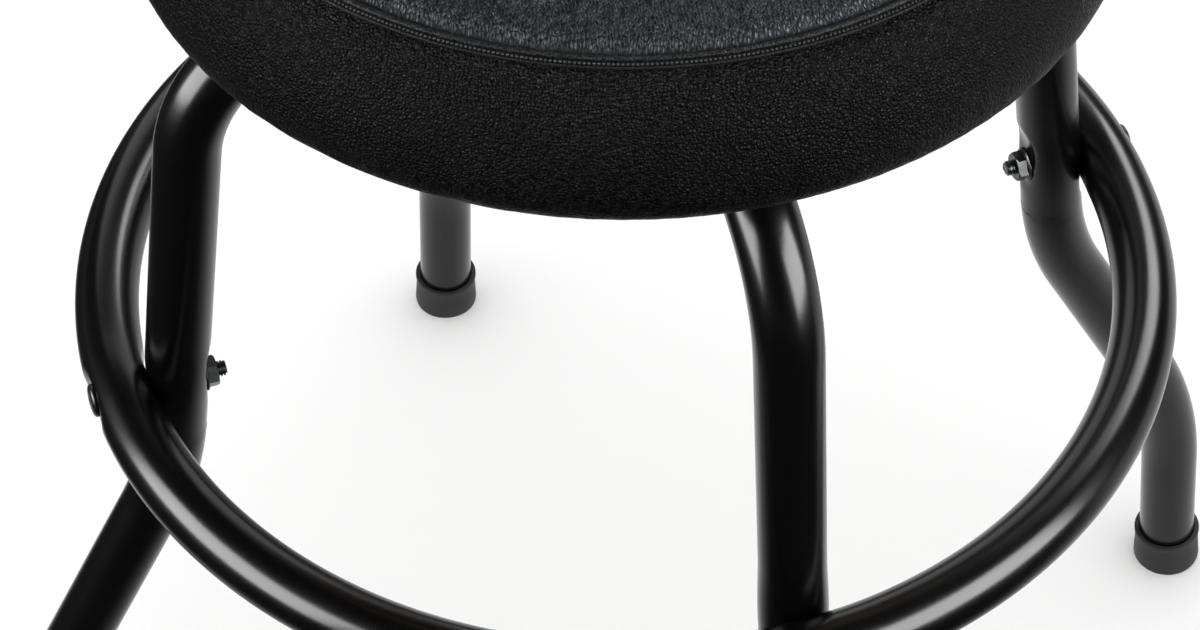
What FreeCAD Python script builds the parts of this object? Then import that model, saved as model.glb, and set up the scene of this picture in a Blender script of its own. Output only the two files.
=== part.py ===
import FreeCAD, Part
import math
import os
import Sketcher

# An adjustable swivel stool: four bent tube legs, a foot ring bolted round them, a screw
# spindle for the height and a ball bearing under a padded round seat.
# Origin on the floor under the middle of the seat, +Z up. Lengths in millimetres.
# Radial pieces are drawn in the XZ plane, as if a leg stood along +X, and each sub-part's
# Placement turns them to where the legs stand.

dimensions = {
    # Legs: corners of the tube's centreline, up from the floor, and out or in from where the
    # centreline would stand if a straight leg just touched the foot ring.
    "tube_radius": 12.7,
    "tube_wall": 1.6,
    "foot_out": 91.7,
    "low_knee_out": 80.9,
    "low_knee_height": 110.8,
    "low_knee_bend": 190.0,
    "mid_knee_out": 10.0,
    "mid_knee_height": 241.4,
    "mid_knee_bend": 132.0,
    "top_knee_in": 17.9,
    "arm_height": 462.0,
    "top_knee_bend": 58.5,
    "leg_turn": 45.0,
    # Foot ring, and the flats where it is bolted to the legs.
    "ring_radius": 207.5,
    "ring_height": 290.5,
    "dimple_depth": 1.8,
    "dimple_flat": 14.0,
    "dimple_ramp": 7.0,
    # Foot caps.
    "cap_wall": 1.9,
    "cap_flare": 0.7,
    "cap_height": 20.0,
    "cap_sole": 4.0,
    "cap_edge": 2.2,
    # Fasteners.
    "bolt_radius": 3.175,
    "thread_gap": 0.05,
    "hole_gap": 0.3,
    "head_radius": 6.6,
    "head_height": 2.2,
    "head_crown": 1.3,
    "socket_across": 4.0,
    "socket_depth": 1.3,
    "nut_across": 11.1,
    "nut_height": 5.2,
    "nut_flange_radius": 7.2,
    "nut_flange_height": 1.2,
    "ring_bolt_length": 52.4,
    "hub_bolt_length": 40.0,
    "hub_bolt_place": 36.0,
    "hub_bolt_step": 22.0,
    # Hub.
    "hub_radius": 21.0,
    "hub_wall": 3.4,
    "hub_drop": 6.0,
    "arm_gap": 0.3,
    "plate_radius": 72.0,
    "plate_thickness": 3.0,
    "bush_flange_radius": 25.0,
    "bush_flange_height": 4.0,
    # Spindle and its stops.
    "spindle_radius": 12.7,
    "running_gap": 0.05,
    "rest_gap": 0.3,
    "travel": 100.0,
    "stop_gap": 0.5,
    "stop_radius": 17.5,
    "stop_thickness": 3.0,
    "stop_screw_radius": 4.0,
    "stop_screw_depth": 16.0,
    "pin_radius": 8.0,
    "pin_above_bush": 3.6,
    "ring_groove_depth": 0.8,
    "ring_groove_place": 0.6,
    "ring_groove_width": 1.3,
    "ring_thickness": 1.2,
    "ring_width": 4.0,
    "ring_opening": 5.0,
    # Ball bearing.
    "race_radius": 56.0,
    "race_thickness": 3.0,
    "race_space": 7.0,
    "ball_radius": 4.3,
    "ball_circle": 46.0,
    "ball_count": 24,
    "cage_thickness": 2.0,
    "cage_rim": 7.0,
    "cage_gap": 0.2,
    # Plate under the seat.
    "swivel_half": 75.0,
    "swivel_corner": 14.0,
    "swivel_thickness": 3.0,
    "swivel_bore": 11.0,
    "bush_lip_radius": 14.0,
    "bush_lip_height": 1.5,
    "bush_above_plate": 1.0,
    "screw_place": 58.0,
    "screw_length": 14.0,
    "tee_barrel_radius": 4.6,
    "tee_barrel_length": 9.0,
    "tee_flange_radius": 10.0,
    "tee_flange_height": 1.4,
    # Seat.
    "board_radius": 170.0,
    "board_thickness": 12.0,
    "board_bore": 16.0,
    "seat_radius": 182.6,
    "rim_curve": 11.6,
    "side_curve": 60.3,
    "side_rise": 44.4,
    "shoulder_curve": 50.0,
    "shoulder_end": 84.0,
    "cover_thickness": 1.2,
    "hem_radius": 148.0,
    "seam_width": 4.6,
    "seam_proud": 1.6,
    "staple_circle": 156.0,
    "staple_count": 32,
    "staple_crown": 10.0,
    "staple_leg": 6.0,
    "staple_wire": 1.0,
}

doc = FreeCAD.newDocument("stool")
sheet = doc.addObject("Spreadsheet::Sheet", "dims")
for row, (alias, number) in enumerate(dimensions.items(), start=1):
    sheet.set(f"A{row}", alias)
    sheet.set(f"B{row}", str(number))
    sheet.setAlias(f"B{row}", alias)
doc.recompute()


class Size:
    """A number together with the sheet expression that gives it."""

    def __init__(self, value, text):
        self.value = value
        self.text = text

    def __add__(self, other):
        other = asSize(other)
        return Size(self.value + other.value, f"({self.text} + {other.text})")

    def __sub__(self, other):
        other = asSize(other)
        return Size(self.value - other.value, f"({self.text} - {other.text})")

    def __mul__(self, other):
        other = asSize(other)
        return Size(self.value * other.value, f"({self.text} * {other.text})")

    def __truediv__(self, other):
        other = asSize(other)
        return Size(self.value / other.value, f"({self.text} / {other.text})")

    def __rsub__(self, other):
        return asSize(other) - self

    def __rmul__(self, other):
        return asSize(other) * self

    def __rtruediv__(self, other):
        return asSize(other) / self

    def __neg__(self):
        return Size(-self.value, f"(0 - {self.text})")


def asSize(number):
    if isinstance(number, Size):
        return number
    return Size(number, f"{number:.10g}")


def size(alias):
    return Size(float(dimensions[alias]), f"dims.{alias}")


def root(a):
    return Size(math.sqrt(a.value), f"sqrt({a.text})")


def cosine(a):
    return Size(math.cos(math.radians(a.value)), f"cos({a.text})")


def sine(a):
    return Size(math.sin(math.radians(a.value)), f"sin({a.text})")


# Bodies, sketches and features.

quarterTurns = [0, 90, 180, 270]
zAxis = FreeCAD.Vector(0, 0, 1)


def bind(thing, prop, amount):
    thing.setExpression(prop, asSize(amount).text)


def turnToLegs(thing, extra=0):
    thing.Placement = FreeCAD.Placement(
        FreeCAD.Vector(), FreeCAD.Rotation(zAxis, dimensions["leg_turn"] + extra)
    )
    bind(thing, ".Placement.Rotation.Angle", size("leg_turn") + extra)


def newBody(name):
    body = doc.addObject("PartDesign::Body", name)
    body.Label = name
    body.AllowCompound = True
    return body


def originFeature(body, role):
    for feature in body.Origin.OriginFeatures:
        if feature.Role == role:
            return feature
    raise ValueError(role)


def newSketch(body, name, role="XZ_Plane", lift=None):
    sketch = body.newObject("Sketcher::SketchObject", name)
    sketch.AttachmentSupport = (originFeature(body, role), [""])
    sketch.MapMode = "FlatFace"
    if lift is not None:
        sketch.AttachmentOffset = FreeCAD.Placement(
            FreeCAD.Vector(0, 0, asSize(lift).value), FreeCAD.Rotation()
        )
        bind(sketch, ".AttachmentOffset.Base.z", lift)
    return sketch


def fixPoint(sketch, edge, end, x, y):
    for kind, amount in (("DistanceX", x), ("DistanceY", y)):
        amount = asSize(amount)
        index = sketch.addConstraint(Sketcher.Constraint(kind, -1, 1, edge, end, amount.value))
        bind(sketch, f"Constraints[{index}]", amount)


def drawOutline(sketch, points, closed=True):
    """Joins (x, y) points. A third entry is the radius of the arc that ends there, positive
    where the arc is travelled anticlockwise and negative where it is travelled clockwise."""
    count = len(points) if closed else len(points) - 1
    previous = None
    for place in range(count):
        x0, y0 = (asSize(a) for a in points[place][:2])
        target = points[(place + 1) % len(points)]
        x1, y1 = (asSize(a) for a in target[:2])
        p = FreeCAD.Vector(x0.value, y0.value, 0)
        q = FreeCAD.Vector(x1.value, y1.value, 0)
        start, end = 1, 2
        if len(target) == 2:
            edge = sketch.addGeometry(Part.LineSegment(p, q), False)
        else:
            radius = asSize(target[2])
            chord = q - p
            side = math.copysign(1, radius.value)
            reach = math.sqrt(max(radius.value**2 - chord.Length**2 / 4, 0))
            left = FreeCAD.Vector(-chord.y, chord.x, 0) * (side * reach / chord.Length)
            centre = (p + q) * 0.5 + left
            circle = Part.Circle(centre, zAxis, abs(radius.value))
            angles = [math.atan2((a - centre).y, (a - centre).x) for a in (p, q)]
            if side < 0:
                angles.reverse()
                start, end = 2, 1
            edge = sketch.addGeometry(Part.ArcOfCircle(circle, angles[0], angles[1]), False)
            index = sketch.addConstraint(
                Sketcher.Constraint("Radius", edge, abs(radius.value))
            )
            bind(sketch, f"Constraints[{index}]", radius if side > 0 else -radius)
        fixPoint(sketch, edge, start, x0, y0)
        if previous is not None:
            sketch.addConstraint(Sketcher.Constraint("Coincident", *previous, edge, start))
        else:
            first = (edge, start)
        previous = (edge, end)
    if closed:
        sketch.addConstraint(Sketcher.Constraint("Coincident", *previous, *first))
    else:
        fixPoint(sketch, *previous, x1, y1)


def drawCircle(sketch, x, y, radius):
    x, y, radius = asSize(x), asSize(y), asSize(radius)
    centre = FreeCAD.Vector(x.value, y.value, 0)
    edge = sketch.addGeometry(Part.Circle(centre, zAxis, radius.value), False)
    fixPoint(sketch, edge, 3, x, y)
    index = sketch.addConstraint(Sketcher.Constraint("Radius", edge, radius.value))
    bind(sketch, f"Constraints[{index}]", radius)


def hexagon(across):
    corner = asSize(across) / math.sqrt(3)
    angles = [math.radians(60 * k) for k in range(6)]
    return [(corner * math.cos(a), corner * math.sin(a)) for a in angles]


def finishFeature(body, feature):
    doc.recompute()
    body.Tip = feature
    return feature


def pad(body, sketch, height):
    feature = body.newObject("PartDesign::Pad", sketch.Name + "_pad")
    feature.Profile = sketch
    bind(feature, "Length", height)
    return finishFeature(body, feature)


def cutVolume(body, feature, before):
    if not body.Shape.Volume < before - 1e-6:
        raise RuntimeError(feature.Name + " cuts nothing")
    return feature


def pocket(body, sketch, depth, flipped=False):
    before = body.Shape.Volume
    feature = body.newObject("PartDesign::Pocket", sketch.Name + "_pocket")
    feature.Profile = sketch
    feature.Reversed = flipped
    bind(feature, "Length", depth)
    return cutVolume(body, finishFeature(body, feature), before)


def revolve(body, sketch, axis="V_Axis"):
    feature = body.newObject("PartDesign::Revolution", sketch.Name + "_turn")
    feature.Profile = sketch
    feature.ReferenceAxis = (sketch, [axis])
    feature.Angle = 360
    return finishFeature(body, feature)


def groove(body, sketch, axis="V_Axis"):
    before = body.Shape.Volume
    feature = body.newObject("PartDesign::Groove", sketch.Name + "_groove")
    feature.Profile = sketch
    feature.ReferenceAxis = (sketch, [axis])
    feature.Angle = 360
    return cutVolume(body, finishFeature(body, feature), before)


def roundPattern(body, features, count):
    feature = body.newObject("PartDesign::PolarPattern", body.Name + "_round")
    feature.Originals = features
    feature.Axis = (originFeature(body, "Z_Axis"), [""])
    feature.Angle = 360
    bind(feature, "Occurrences", count)
    return finishFeature(body, feature)


def turnedPiece(name, points):
    body = newBody(name)
    sketch = newSketch(body, name + "_profile")
    drawOutline(sketch, points)
    revolve(body, sketch)
    turnToLegs(body)
    return body


nodes = []

# Heights up the middle of the stool, worked out from the legs up.
armTop = size("arm_height") + size("tube_radius")
armBottom = size("arm_height") - size("tube_radius")
hubTop = armTop + size("plate_thickness")
hubPlateBottom = armBottom - size("plate_thickness")
hubBottom = hubPlateBottom - size("hub_drop")
raceBottom = hubTop + size("bush_flange_height") + size("rest_gap")
raceTop = raceBottom + size("race_thickness")
ballHeight = raceTop + size("race_space") / 2
swivelBottom = raceTop + size("race_space")
swivelTop = swivelBottom + size("swivel_thickness")
boardTop = swivelTop + size("board_thickness")
spindleEnd = hubBottom - size("travel") - size("stop_gap")
holeRadius = size("bolt_radius") + size("hole_gap")

# Places of the ring bolts along a leg's own direction.
ringOuterFlat = size("ring_radius") + size("tube_radius") - size("dimple_depth")


def alongLine(start, end, share):
    return tuple(a + (b - a) * share for a, b in zip(start, end))


legTouch = size("ring_radius") - size("tube_radius") * 2
footRadius = legTouch + size("foot_out")
legCorners = {
    "foot": (footRadius, asSize(0)),
    "low": (legTouch + size("low_knee_out"), size("low_knee_height")),
    "mid": (legTouch + size("mid_knee_out"), size("mid_knee_height")),
    "top": (legTouch - size("top_knee_in"), size("arm_height")),
    "hub": (size("hub_radius") + size("arm_gap"), size("arm_height")),
}
ringShare = (size("ring_height") - size("mid_knee_height")) / (
    size("arm_height") - size("mid_knee_height")
)
legAtRing = alongLine(legCorners["mid"], legCorners["top"], ringShare)[0]
# The ring and the leg meet in the plane halfway between their two axes.
meetingPlane = (legAtRing + size("ring_radius")) / 2
legInnerFlat = legAtRing - size("tube_radius") + size("dimple_depth")


def bend(before, corner, after, radius):
    """The two tangent points of an arc of the radius that rounds a corner."""
    into = [a - b for a, b in zip(corner, before)]
    out = [a - b for a, b in zip(after, corner)]
    intoLength = root(into[0] * into[0] + into[1] * into[1])
    outLength = root(out[0] * out[0] + out[1] * out[1])
    turn = (into[0] * out[0] + into[1] * out[1]) / (intoLength * outLength)
    reach = radius * root((1 - turn) / (asSize(1) + turn))
    first = alongLine(corner, before, reach / intoLength)
    second = alongLine(corner, after, reach / outLength)
    return first, second


def legPath():
    """The tube's centreline from the hub out and down to just above the sole."""
    corners = legCorners
    sole = alongLine(corners["foot"], corners["low"], size("cap_sole") / size("low_knee_height"))
    top = bend(corners["hub"], corners["top"], corners["mid"], size("top_knee_bend"))
    mid = bend(corners["top"], corners["mid"], corners["low"], size("mid_knee_bend"))
    low = bend(corners["mid"], corners["low"], corners["foot"], size("low_knee_bend"))
    return [
        corners["hub"],
        top[0],
        top[1] + (-size("top_knee_bend"),),
        mid[0],
        mid[1] + (size("mid_knee_bend"),),
        low[0],
        low[1] + (-size("low_knee_bend"),),
        sole,
    ]


def bentRod(name, radius):
    body = newBody(name)
    path = newSketch(body, name + "_path")
    drawOutline(path, legPath(), closed=False)
    section = newSketch(body, name + "_section", "YZ_Plane", legCorners["hub"][0])
    drawCircle(section, 0, size("arm_height"), radius)
    doc.recompute()
    pipe = body.newObject("PartDesign::AdditivePipe", name + "_pipe")
    pipe.Profile = section
    pipe.Spine = (path, [f"Edge{k}" for k in range(1, 8)])
    finishFeature(body, pipe)
    return body


def placed(thing, x, y, z, rotation):
    thing.Placement = FreeCAD.Placement(
        FreeCAD.Vector(asSize(x).value, asSize(y).value, asSize(z).value), rotation
    )
    for letter, amount in zip("xyz", (x, y, z)):
        bind(thing, f".Placement.Base.{letter}", amount)
    return thing


def dimpleBlock(name, plane, outward, angle, upright):
    """A block with sloped ends whose flat face lies on the plane, a distance out from the
    axis. It reaches outward or inward from there, and is long up the leg or along the ring."""
    block = doc.addObject("Part::Wedge", name)
    half = size("dimple_flat") / 2
    wide = size("tube_radius") * 1.3
    deep = size("tube_radius") * 0.6
    spread = half + size("dimple_ramp") * deep / size("dimple_depth")
    for prop, amount in (
        ("Ymin", 0), ("Ymax", deep),
        ("Xmin", -half), ("Xmax", half), ("Zmin", -wide), ("Zmax", wide),
        ("X2min", -spread), ("X2max", spread), ("Z2min", -wide), ("Z2max", wide),
    ):
        bind(block, prop, amount)
    out = FreeCAD.Vector(1 if outward else -1, 0, 0)
    along = zAxis if upright else FreeCAD.Vector(0, 1, 0)
    aim = FreeCAD.Rotation(along, out, along.cross(out), "XYZ")
    turn = FreeCAD.Rotation(zAxis, angle)
    x = plane * round(math.cos(math.radians(angle)))
    y = plane * round(math.sin(math.radians(angle)))
    return placed(block, x, y, size("ring_height"), turn * aim)


def drill(name, angle, x, height, length, upright):
    hole = doc.addObject("Part::Cylinder", name)
    bind(hole, "Radius", holeRadius)
    bind(hole, "Height", length)
    turn = FreeCAD.Rotation(zAxis, angle)
    aim = FreeCAD.Rotation() if upright else FreeCAD.Rotation(FreeCAD.Vector(0, 1, 0), 90)
    along = x * round(math.cos(math.radians(angle)))
    across = x * round(math.sin(math.radians(angle)))
    return placed(hole, along, across, height, turn * aim)


def joinTools(name, tools):
    fuse = doc.addObject("Part::MultiFuse", name)
    fuse.Shapes = tools
    return fuse


def cutPart(name, base, tool):
    cut = doc.addObject("Part::Cut", name)
    cut.Base = base
    cut.Tool = tool
    return cut


# Legs: the rod less its tools, less the bore, which the same flats push in by one wall.
wall = size("tube_wall")
drillLength = size("tube_radius") * 4
legTools = [
    dimpleBlock("leg_outer_flat", meetingPlane, True, 0, True),
    dimpleBlock("leg_inner_flat", legInnerFlat, False, 0, True),
    drill("leg_ring_hole", 0, legAtRing - drillLength / 2, size("ring_height"), drillLength, False),
]
for row in range(2):
    place = size("hub_bolt_place") + size("hub_bolt_step") * row
    low = size("arm_height") - drillLength / 2
    legTools.append(drill(f"leg_hub_hole_{row + 1}", 0, place, low, drillLength, True))
legBoreTools = [
    dimpleBlock("leg_outer_push", meetingPlane - wall, True, 0, True),
    dimpleBlock("leg_inner_push", legInnerFlat + wall, False, 0, True),
]
legRod = bentRod("leg_rod", size("tube_radius"))
legBore = bentRod("leg_bore", size("tube_radius") - wall)
legSolid = cutPart("leg_solid", legRod, joinTools("leg_tools", legTools))
legHollow = cutPart("leg_hollow", legBore, joinTools("leg_bore_tools", legBoreTools))
for number, angle in enumerate(quarterTurns, start=1):
    leg = cutPart(f"leg_{number}", legSolid, legHollow)
    leg.Label = leg.Name
    turnToLegs(leg, angle)
    nodes.append(leg)


# Foot caps: turned about the leg's lowest stretch, and cut level on the floor.
def footCap(number, angle):
    body = newBody(f"foot_cap_{number}")
    profile = newSketch(body, body.Name + "_profile")
    lean = Size(
        math.degrees(math.atan2(
            dimensions["foot_out"] - dimensions["low_knee_out"],
            dimensions["low_knee_height"],
        )),
        "atan((dims.foot_out - dims.low_knee_out) / dims.low_knee_height)",
    )
    profile.AttachmentOffset = FreeCAD.Placement(
        FreeCAD.Vector(footRadius.value, 0, 0), FreeCAD.Rotation(zAxis, lean.value)
    )
    bind(profile, ".AttachmentOffset.Base.x", footRadius)
    bind(profile, ".AttachmentOffset.Rotation.Angle", lean)
    outer = size("tube_radius") + size("cap_wall")
    base = outer + size("cap_flare")
    # Up the slope, the tube's end is a little further than the sole's thickness.
    slope = (size("foot_out") - size("low_knee_out")) / size("low_knee_height")
    tubeEnd = size("cap_sole") * root(asSize(1) + slope * slope)
    edge = size("cap_edge")
    below = base * slope
    drawOutline(profile, [
        (0, -below),
        (base - edge, -below),
        (base, edge, edge * 1.6),
        (outer, size("cap_height")),
        (size("tube_radius"), size("cap_height")),
        (size("tube_radius"), tubeEnd),
        (0, tubeEnd),
    ])
    revolve(body, profile)
    level = newSketch(body, body.Name + "_level", "XY_Plane")
    reach = base * 2
    centre = footRadius
    drawOutline(level, [
        (centre - reach, -reach), (centre + reach, -reach),
        (centre + reach, reach), (centre - reach, reach),
    ])
    pocket(body, level, base)
    turnToLegs(body, angle)
    return body


for number, angle in enumerate(quarterTurns, start=1):
    nodes.append(footCap(number, angle))


# Foot ring: a hoop with a flat inside and outside at each bolt.
def hoop(name, radius):
    torus = doc.addObject("Part::Torus", name)
    bind(torus, "Radius1", size("ring_radius"))
    bind(torus, "Radius2", radius)
    return placed(torus, 0, 0, size("ring_height"), FreeCAD.Rotation())


ringTools = []
ringBoreTools = []
for angle in quarterTurns:
    ringTools.append(dimpleBlock(f"ring_outer_flat_{angle}", ringOuterFlat, True, angle, False))
    ringTools.append(dimpleBlock(f"ring_inner_flat_{angle}", meetingPlane, False, angle, False))
    start = size("ring_radius") - drillLength / 2
    ringTools.append(drill(f"ring_hole_{angle}", angle, start, size("ring_height"), drillLength, False))
    ringBoreTools.append(
        dimpleBlock(f"ring_outer_push_{angle}", ringOuterFlat - wall, True, angle, False)
    )
    ringBoreTools.append(
        dimpleBlock(f"ring_inner_push_{angle}", meetingPlane + wall, False, angle, False)
    )
ringSolid = cutPart("ring_solid", hoop("ring_rod", size("tube_radius")), joinTools("ring_tools", ringTools))
ringHollow = cutPart(
    "ring_hollow", hoop("ring_bore", size("tube_radius") - wall), joinTools("ring_bore_tools", ringBoreTools)
)
footRing = cutPart("foot_ring", ringSolid, ringHollow)
footRing.Label = footRing.Name
turnToLegs(footRing)
nodes.append(footRing)


# Bolts along X, with domed socket heads on the outside of the ring.
def boltProfile(seat, length):
    """Outline of a bolt as (along, out). Its head lies on the seat, and the shank runs back."""
    shank, head = size("bolt_radius"), size("head_radius")
    rise = size("head_crown")
    top = seat + size("head_height")
    flat = head * 0.45
    span = head - flat
    curve = (span * span + rise * rise) / (rise * 2)
    return [
        (seat - length, 0),
        (top, 0),
        (top, flat),
        (top - rise, head, curve),
        (seat, head),
        (seat, shank),
        (seat - length, shank),
    ]


def ringBolts():
    body = newBody("ring_bolts")
    lift = size("ring_height")
    profile = newSketch(body, "ring_bolts_profile")
    drawOutline(profile, boltProfile(ringOuterFlat, size("ring_bolt_length")))
    turned = revolve(body, profile, "H_Axis")
    socket = newSketch(body, "ring_bolts_socket", "YZ_Plane", ringOuterFlat + size("head_height"))
    drawOutline(socket, hexagon(size("socket_across")))
    cut = pocket(body, socket, size("socket_depth"))
    roundPattern(body, [turned, cut], 4)
    turnToLegs(body)
    body.Placement.Base.z = lift.value
    bind(body, ".Placement.Base.z", lift)
    return body


def ringNuts():
    body = newBody("ring_nuts")
    lift = size("ring_height")
    bore = size("bolt_radius") + size("thread_gap")
    flangeEnd = legInnerFlat - size("nut_flange_height")
    profile = newSketch(body, "ring_nuts_flange")
    drawOutline(profile, [
        (flangeEnd, bore), (legInnerFlat, bore),
        (legInnerFlat, size("nut_flange_radius")), (flangeEnd, size("nut_flange_radius") * 0.86),
    ])
    flange = revolve(body, profile, "H_Axis")
    section = newSketch(body, "ring_nuts_hexagon", "YZ_Plane", legInnerFlat - size("nut_height"))
    drawOutline(section, hexagon(size("nut_across")))
    drawCircle(section, 0, 0, bore)
    prism = pad(body, section, size("nut_height") - size("nut_flange_height"))
    roundPattern(body, [flange, prism], 4)
    turnToLegs(body)
    body.Placement.Base.z = lift.value
    bind(body, ".Placement.Base.z", lift)
    return body


nodes.append(ringBolts())
nodes.append(ringNuts())

# Hub: a tube between two plates that clamp the arms from above and below.
hubInner = size("hub_radius") - size("hub_wall")
nodes.append(turnedPiece("hub_tube", [
    (hubInner, hubBottom), (size("hub_radius"), hubBottom),
    (size("hub_radius"), hubTop), (hubInner, hubTop),
]))


def hubPlate(name, bottom):
    body = newBody(name)
    outline = newSketch(body, name + "_outline", "XY_Plane", bottom)
    drawCircle(outline, 0, 0, size("plate_radius"))
    drawCircle(outline, 0, 0, size("hub_radius"))
    pad(body, outline, size("plate_thickness"))
    holes = newSketch(body, name + "_holes", "XY_Plane", bottom + size("plate_thickness"))
    for row in range(2):
        drawCircle(holes, size("hub_bolt_place") + size("hub_bolt_step") * row, 0, holeRadius)
    cut = pocket(body, holes, size("plate_thickness"))
    roundPattern(body, [cut], 4)
    turnToLegs(body)
    return body


nodes.append(hubPlate("hub_top_plate", armTop))
nodes.append(hubPlate("hub_bottom_plate", hubPlateBottom))


def hubBolts():
    body = newBody("hub_bolts")
    bolts = []
    for row in range(2):
        profile = newSketch(body, f"hub_bolts_profile_{row + 1}")
        place = size("hub_bolt_place") + size("hub_bolt_step") * row
        profile.AttachmentOffset = FreeCAD.Placement(
            FreeCAD.Vector(place.value, 0, 0), FreeCAD.Rotation()
        )
        bind(profile, ".AttachmentOffset.Base.x", place)
        points = boltProfile(hubTop, size("hub_bolt_length"))
        drawOutline(profile, [(-asSize(out), along, *curve) for along, out, *curve in points])
        bolts.append(revolve(body, profile))
    roundPattern(body, bolts, 4)
    turnToLegs(body)
    return body


def hubNuts():
    body = newBody("hub_nuts")
    bore = size("bolt_radius") + size("thread_gap")
    section = newSketch(body, "hub_nuts_section", "XY_Plane", hubPlateBottom - size("nut_height"))
    for row in range(2):
        place = size("hub_bolt_place") + size("hub_bolt_step") * row
        drawOutline(section, [(x + place, y) for x, y in hexagon(size("nut_across"))])
        drawCircle(section, place, 0, bore)
    prisms = pad(body, section, size("nut_height"))
    roundPattern(body, [prisms], 4)
    turnToLegs(body)
    return body


nodes.append(hubBolts())
nodes.append(hubNuts())

spindleBore = size("spindle_radius") + size("running_gap")
nodes.append(turnedPiece("spindle_nut", [
    (spindleBore, hubBottom), (hubInner, hubBottom), (hubInner, hubTop),
    (size("bush_flange_radius"), hubTop),
    (size("bush_flange_radius"), hubTop + size("bush_flange_height")),
    (spindleBore, hubTop + size("bush_flange_height")),
]))

# Spindle, with the swivel's pivot pin on top and a tapped hole in its lower end.
bushTop = swivelTop + size("bush_above_plate")
grooveLow = bushTop + size("ring_groove_place")
grooveHigh = grooveLow + size("ring_groove_width")
grooveRadius = size("pin_radius") - size("ring_groove_depth")
pinTop = bushTop + size("pin_above_bush")
stopBore = size("stop_screw_radius") + size("thread_gap")
nodes.append(turnedPiece("spindle", [
    (stopBore, spindleEnd), (size("spindle_radius"), spindleEnd),
    (size("spindle_radius"), raceTop), (size("pin_radius"), raceTop),
    (size("pin_radius"), grooveLow), (grooveRadius, grooveLow),
    (grooveRadius, grooveHigh), (size("pin_radius"), grooveHigh),
    (size("pin_radius"), pinTop), (0, pinTop),
    (0, spindleEnd + size("stop_screw_depth")), (stopBore, spindleEnd + size("stop_screw_depth")),
]))

washerBottom = spindleEnd - size("stop_thickness")
nodes.append(turnedPiece("stop_washer", [
    (size("stop_screw_radius") + size("hole_gap"), washerBottom),
    (size("stop_radius"), washerBottom), (size("stop_radius"), spindleEnd),
    (size("stop_screw_radius") + size("hole_gap"), spindleEnd),
]))
nodes.append(turnedPiece("stop_screw", [
    (0, washerBottom - size("head_height")),
    (size("head_radius") * 0.8, washerBottom - size("head_height")),
    (size("head_radius"), washerBottom - size("head_height") + size("head_crown")),
    (size("head_radius"), washerBottom), (size("stop_screw_radius"), washerBottom),
    (size("stop_screw_radius"), spindleEnd + size("stop_screw_depth") * 0.8),
    (0, spindleEnd + size("stop_screw_depth") * 0.8),
]))


# Ball bearing: two races with a round track each, balls, and the cage between them.
trackRadius = size("ball_radius") + size("running_gap")


def cutTrack(body):
    track = newSketch(body, body.Name + "_track")
    drawCircle(track, size("ball_circle"), ballHeight, trackRadius)
    return groove(body, track)


def lowerRace():
    body = newBody("lower_race")
    outline = newSketch(body, "lower_race_outline", "XY_Plane", raceBottom)
    drawCircle(outline, 0, 0, size("race_radius"))
    drawCircle(outline, 0, 0, size("spindle_radius"))
    pad(body, outline, size("race_thickness"))
    cutTrack(body)
    turnToLegs(body)
    return body


def bearingBalls():
    body = newBody("bearing_balls")
    ball = body.newObject("PartDesign::AdditiveSphere", "ball")
    bind(ball, "Radius", size("ball_radius"))
    placed(ball, size("ball_circle"), 0, ballHeight, FreeCAD.Rotation())
    finishFeature(body, ball)
    roundPattern(body, [ball], size("ball_count"))
    turnToLegs(body)
    return body


def bearingCage():
    body = newBody("bearing_cage")
    bottom = ballHeight - size("cage_thickness") / 2
    outline = newSketch(body, "bearing_cage_outline", "XY_Plane", bottom)
    drawCircle(outline, 0, 0, size("ball_circle") + size("cage_rim"))
    drawCircle(outline, 0, 0, size("ball_circle") - size("cage_rim"))
    pad(body, outline, size("cage_thickness"))
    seat = newSketch(body, "bearing_cage_seat", "XY_Plane", bottom + size("cage_thickness"))
    drawCircle(seat, size("ball_circle"), 0, size("ball_radius") + size("cage_gap"))
    cut = pocket(body, seat, size("cage_thickness"))
    roundPattern(body, [cut], size("ball_count"))
    turnToLegs(body)
    return body


def retainingRing():
    body = newBody("retaining_ring")
    outline = newSketch(body, "retaining_ring_outline", "XY_Plane", grooveLow)
    drawCircle(outline, 0, 0, grooveRadius + size("ring_width"))
    drawCircle(outline, 0, 0, grooveRadius)
    pad(body, outline, size("ring_thickness"))
    opening = newSketch(body, "retaining_ring_opening", "XY_Plane", grooveLow + size("ring_thickness"))
    half = size("ring_opening") / 2
    reach = grooveRadius + size("ring_width") * 2
    drawOutline(opening, [(0, -half), (reach, -half), (reach, half), (0, half)])
    pocket(body, opening, size("ring_thickness"))
    turnToLegs(body)
    return body


nodes.append(lowerRace())
nodes.append(bearingBalls())
nodes.append(bearingCage())
nodes.append(retainingRing())


# Square plate under the seat, with the upper track, and its bush on the pivot pin.
def squareOutline(half, corner):
    inner = half - corner
    return [
        (-inner, -half, corner), (inner, -half), (half, -inner, corner), (half, inner),
        (inner, half, corner), (-inner, half), (-half, inner, corner), (-half, -inner),
    ]


def swivelPlate():
    body = newBody("swivel_plate")
    outline = newSketch(body, "swivel_plate_outline", "XY_Plane", swivelBottom)
    drawOutline(outline, squareOutline(size("swivel_half"), size("swivel_corner")))
    drawCircle(outline, 0, 0, size("swivel_bore"))
    pad(body, outline, size("swivel_thickness"))
    cutTrack(body)
    hole = newSketch(body, "swivel_plate_hole", "XY_Plane", swivelTop)
    drawCircle(hole, size("screw_place"), size("screw_place"), holeRadius)
    cut = pocket(body, hole, size("swivel_thickness"))
    roundPattern(body, [cut], 4)
    turnToLegs(body)
    return body


nodes.append(swivelPlate())

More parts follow.
